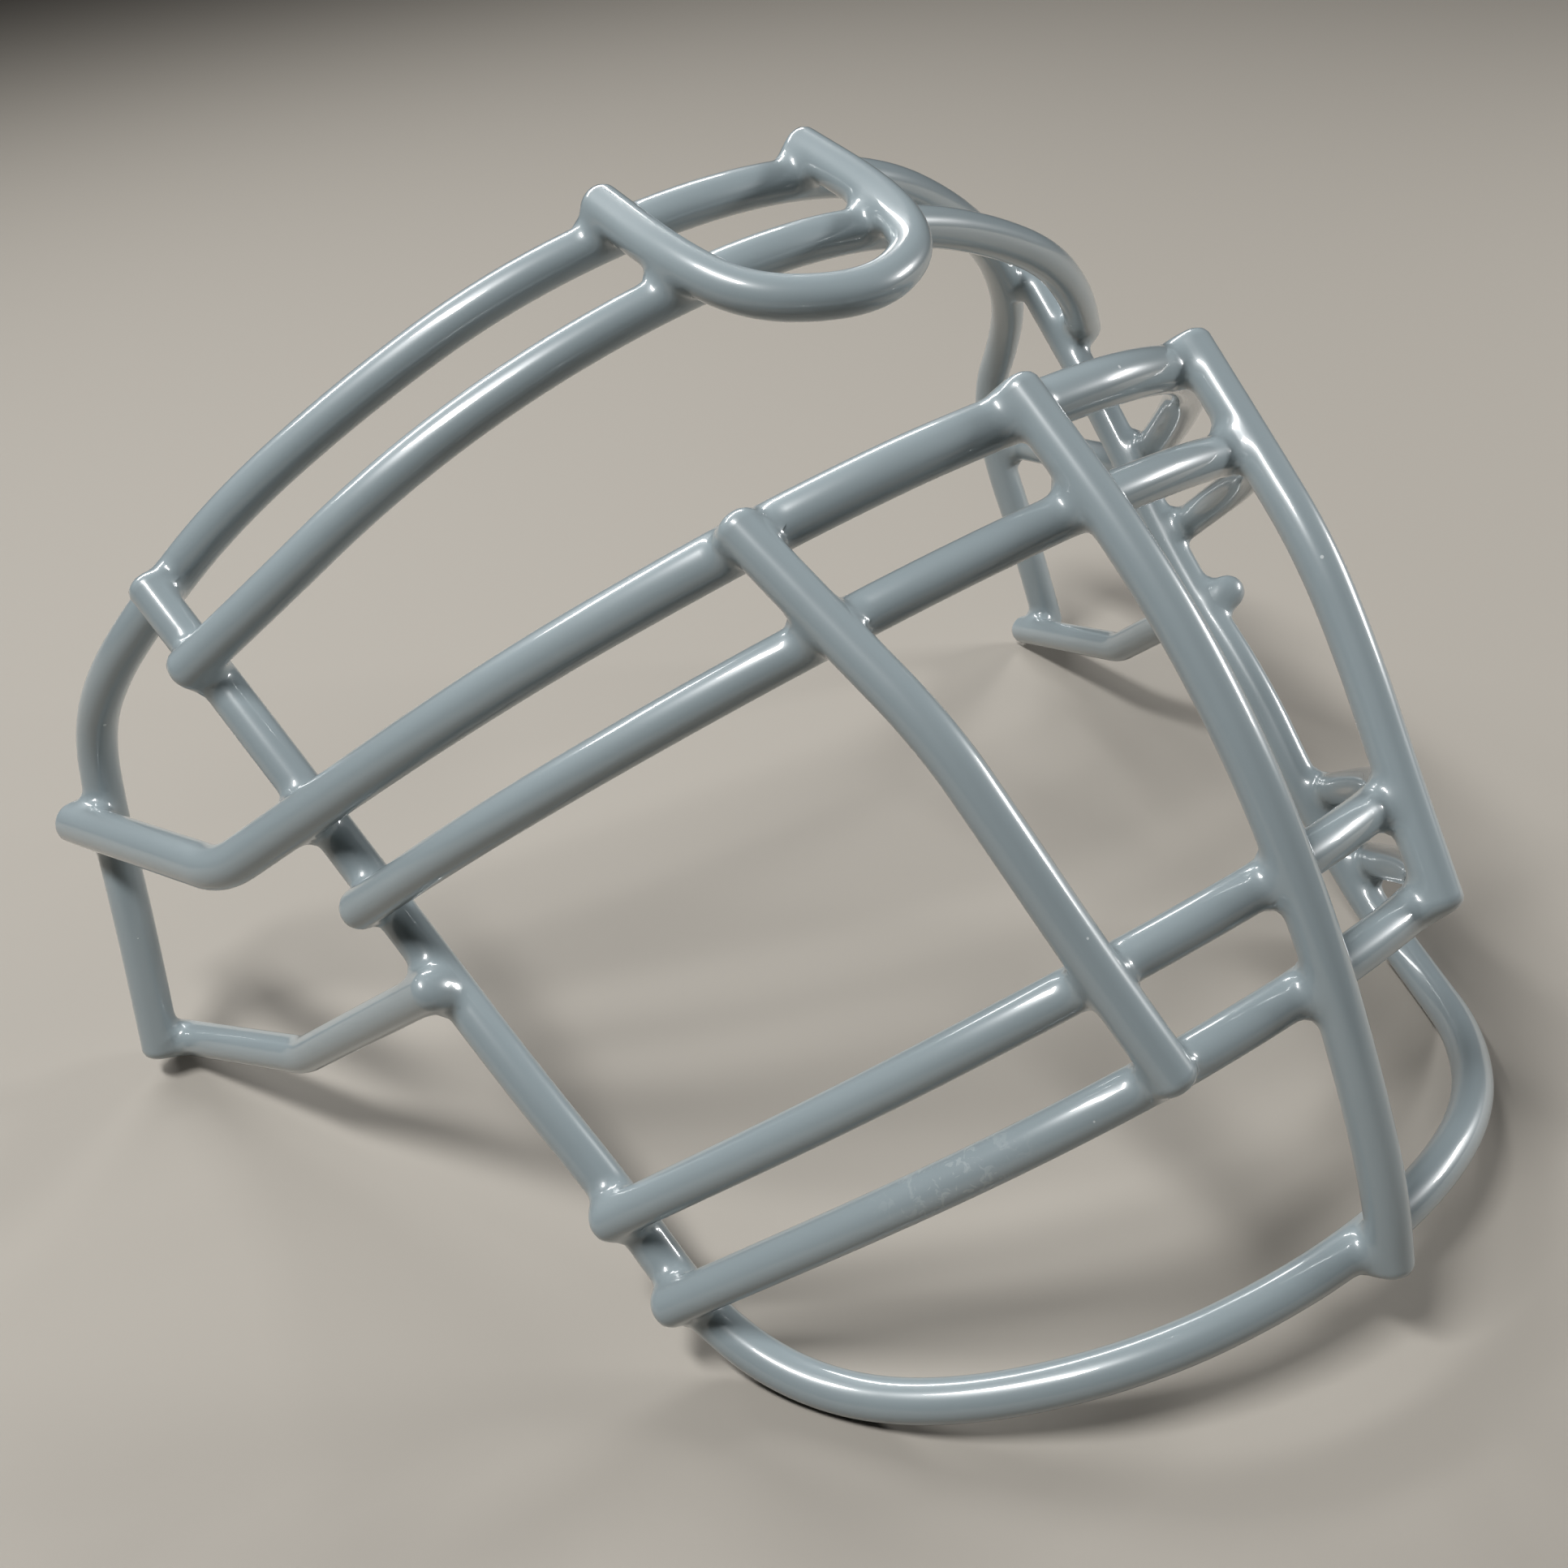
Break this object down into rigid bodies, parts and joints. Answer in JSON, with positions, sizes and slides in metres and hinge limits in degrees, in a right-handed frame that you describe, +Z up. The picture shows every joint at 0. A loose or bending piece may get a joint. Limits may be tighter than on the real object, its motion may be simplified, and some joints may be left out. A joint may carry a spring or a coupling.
{
  "type": "face mask cage",
  "caption": "Open wire face cage for a sports helmet: bent round steel rods cross-welded into a guard for eyes, mouth and chin, dipped in glossy grey vinyl.",
  "frame": {"origin": "middle of the cage's footprint, on the surface it rests on", "axes": "+X towards the wearer's left, -Y the way the face looks as the cage lies on a table, +Z up from the table"},
  "size_m": [0.2502, 0.2178, 0.1595],
  "materials": {
    "vinyl_coat": "glossy dipped vinyl, blue-grey",
    "steel_rod": "drawn mild steel, hidden under the dip"
  },
  "bodies": {
    "root": {"forehead_hoop_steel": "steel_rod", "forehead_hoop_coat": "vinyl_coat", "brow_bar_steel": "steel_rod", "brow_bar_coat": "vinyl_coat", "crown_loop_steel": "steel_rod", "crown_loop_coat": "vinyl_coat", "chin_loop_steel": "steel_rod", "chin_loop_coat": "vinyl_coat", "upper_eye_bar_steel": "steel_rod", "upper_eye_bar_coat": "vinyl_coat", "lower_eye_bar_steel": "steel_rod", "lower_eye_bar_coat": "vinyl_coat", "upper_mouth_bar_steel": "steel_rod", "upper_mouth_bar_coat": "vinyl_coat", "lower_mouth_bar_steel": "steel_rod", "lower_mouth_bar_coat": "vinyl_coat", "centre_upright_steel": "steel_rod", "centre_upright_coat": "vinyl_coat", "left_upright_steel": "steel_rod", "left_upright_coat": "vinyl_coat", "right_upright_steel": "steel_rod", "right_upright_coat": "vinyl_coat", "left_jaw_wire_steel": "steel_rod", "left_jaw_wire_coat": "vinyl_coat", "right_jaw_wire_steel": "steel_rod", "right_jaw_wire_coat": "vinyl_coat"}
  },
  "joints": []
}
